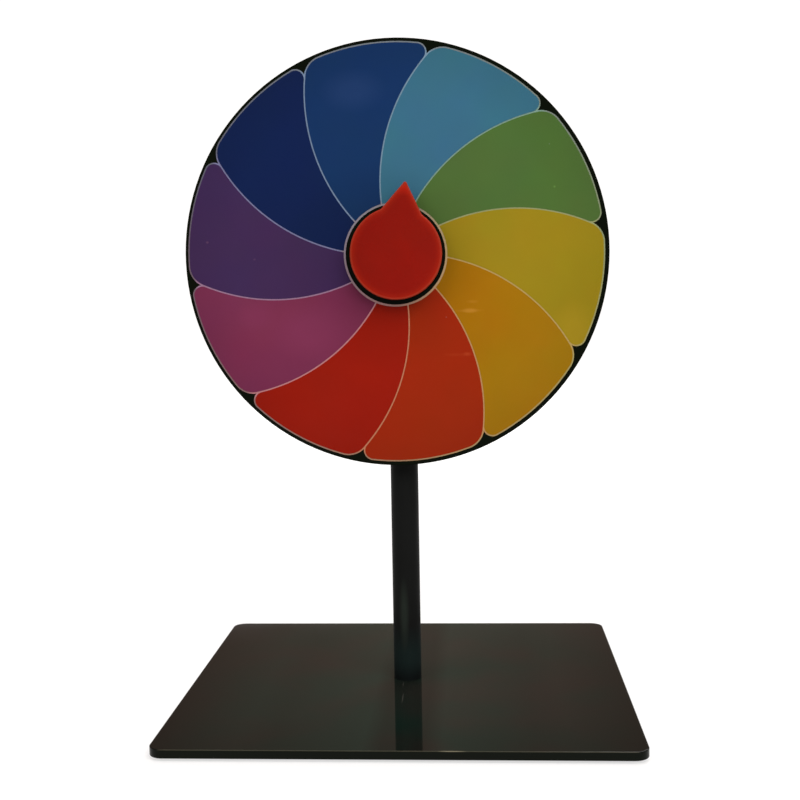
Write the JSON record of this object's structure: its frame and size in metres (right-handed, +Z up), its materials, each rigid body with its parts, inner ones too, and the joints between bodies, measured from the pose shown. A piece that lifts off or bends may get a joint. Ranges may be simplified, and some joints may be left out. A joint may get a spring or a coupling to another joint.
{
  "type": "game wheel",
  "caption": "Table-top game wheel: a disc with swirled coloured petals spins on a ball-bearing axle behind a fixed red drop-shaped pointer, on a round post and flat base.",
  "frame": {"origin": "on the surface that the rubber feet stand on, under the post's axis, which is the middle of the base plate", "axes": "+Z up along the post, -Y towards the wheel's face and its viewer, +X to the viewer's right"},
  "size_m": [0.32, 0.3, 0.473],
  "materials": {
    "rubber": "matt black rubber",
    "black_acrylic": "polished black acrylic sheet",
    "black_paint": "satin black paint on steel tube",
    "black_plastic": "moulded black plastic",
    "steel": "zinc-plated steel",
    "bearing_steel": "ground bearing steel",
    "cage_resin": "moulded natural nylon",
    "aluminium": "turned aluminium",
    "silver_film": "silver vinyl film",
    "foam_tape": "white double-sided foam tape",
    "red_acrylic": "red acrylic sheet",
    "petal_green": "glossy coloured vinyl film",
    "petal_yellow": "glossy coloured vinyl film",
    "petal_amber": "glossy coloured vinyl film",
    "petal_orange": "glossy coloured vinyl film",
    "petal_red": "glossy coloured vinyl film",
    "petal_magenta": "glossy coloured vinyl film",
    "petal_purple": "glossy coloured vinyl film",
    "petal_navy": "glossy coloured vinyl film",
    "petal_blue": "glossy coloured vinyl film",
    "petal_light_blue": "glossy coloured vinyl film"
  },
  "bodies": {
    "stand": {"rubber_feet": "rubber", "base_plate": "black_acrylic", "base_screw": "steel", "post_foot_plug": "steel", "post_tube": "black_paint", "post_cap": "black_plastic", "rear_saddle": "aluminium", "axle_washer": "steel", "axle_bolt": "steel", "front_saddle": "aluminium", "bearing_spacer": "aluminium", "front_washer": "steel", "lock_nut": "steel", "pointer_boss": "aluminium", "pointer_pad": "foam_tape", "pointer_plate": "red_acrylic", "rear_bearing_inner_ring": "bearing_steel", "front_bearing_inner_ring": "bearing_steel"},
    "wheel": {"rear_bearing_outer_ring": "bearing_steel", "rear_bearing_shields": "bearing_steel", "front_bearing_outer_ring": "bearing_steel", "front_bearing_shields": "bearing_steel", "wheel_hub": "aluminium", "wheel_disc": "black_acrylic", "hub_screws": "steel", "silver_keyline": "silver_film", "petal_green": "petal_green", "petal_yellow": "petal_yellow", "petal_amber": "petal_amber", "petal_orange": "petal_orange", "petal_red": "petal_red", "petal_magenta": "petal_magenta", "petal_purple": "petal_purple", "petal_navy": "petal_navy", "petal_blue": "petal_blue", "petal_light_blue": "petal_light_blue"},
    "rear_ball_set": {"rear_bearing_balls": "bearing_steel", "rear_bearing_cage": "cage_resin"},
    "front_ball_set": {"front_bearing_balls": "bearing_steel", "front_bearing_cage": "cage_resin"}
  },
  "joints": [
    {"name": "wheel_spin", "type": "hinge", "parent": "stand", "child": "wheel", "pos_m": [-0.0019, -0.02125, 0.323], "axis": [0, -1, 0], "continuous": true},
    {"name": "rear_ball_spin", "type": "hinge", "parent": "stand", "child": "rear_ball_set", "pos_m": [-0.0019, -0.02125, 0.323], "axis": [0, -1, 0], "continuous": true},
    {"name": "front_ball_spin", "type": "hinge", "parent": "stand", "child": "front_ball_set", "pos_m": [-0.0019, -0.02125, 0.323], "axis": [0, -1, 0], "continuous": true}
  ],
  "couplings": [
    {"joint": "rear_ball_spin", "follows": "wheel_spin", "ratio": 0.63233},
    {"joint": "front_ball_spin", "follows": "wheel_spin", "ratio": 0.63233}
  ]
}
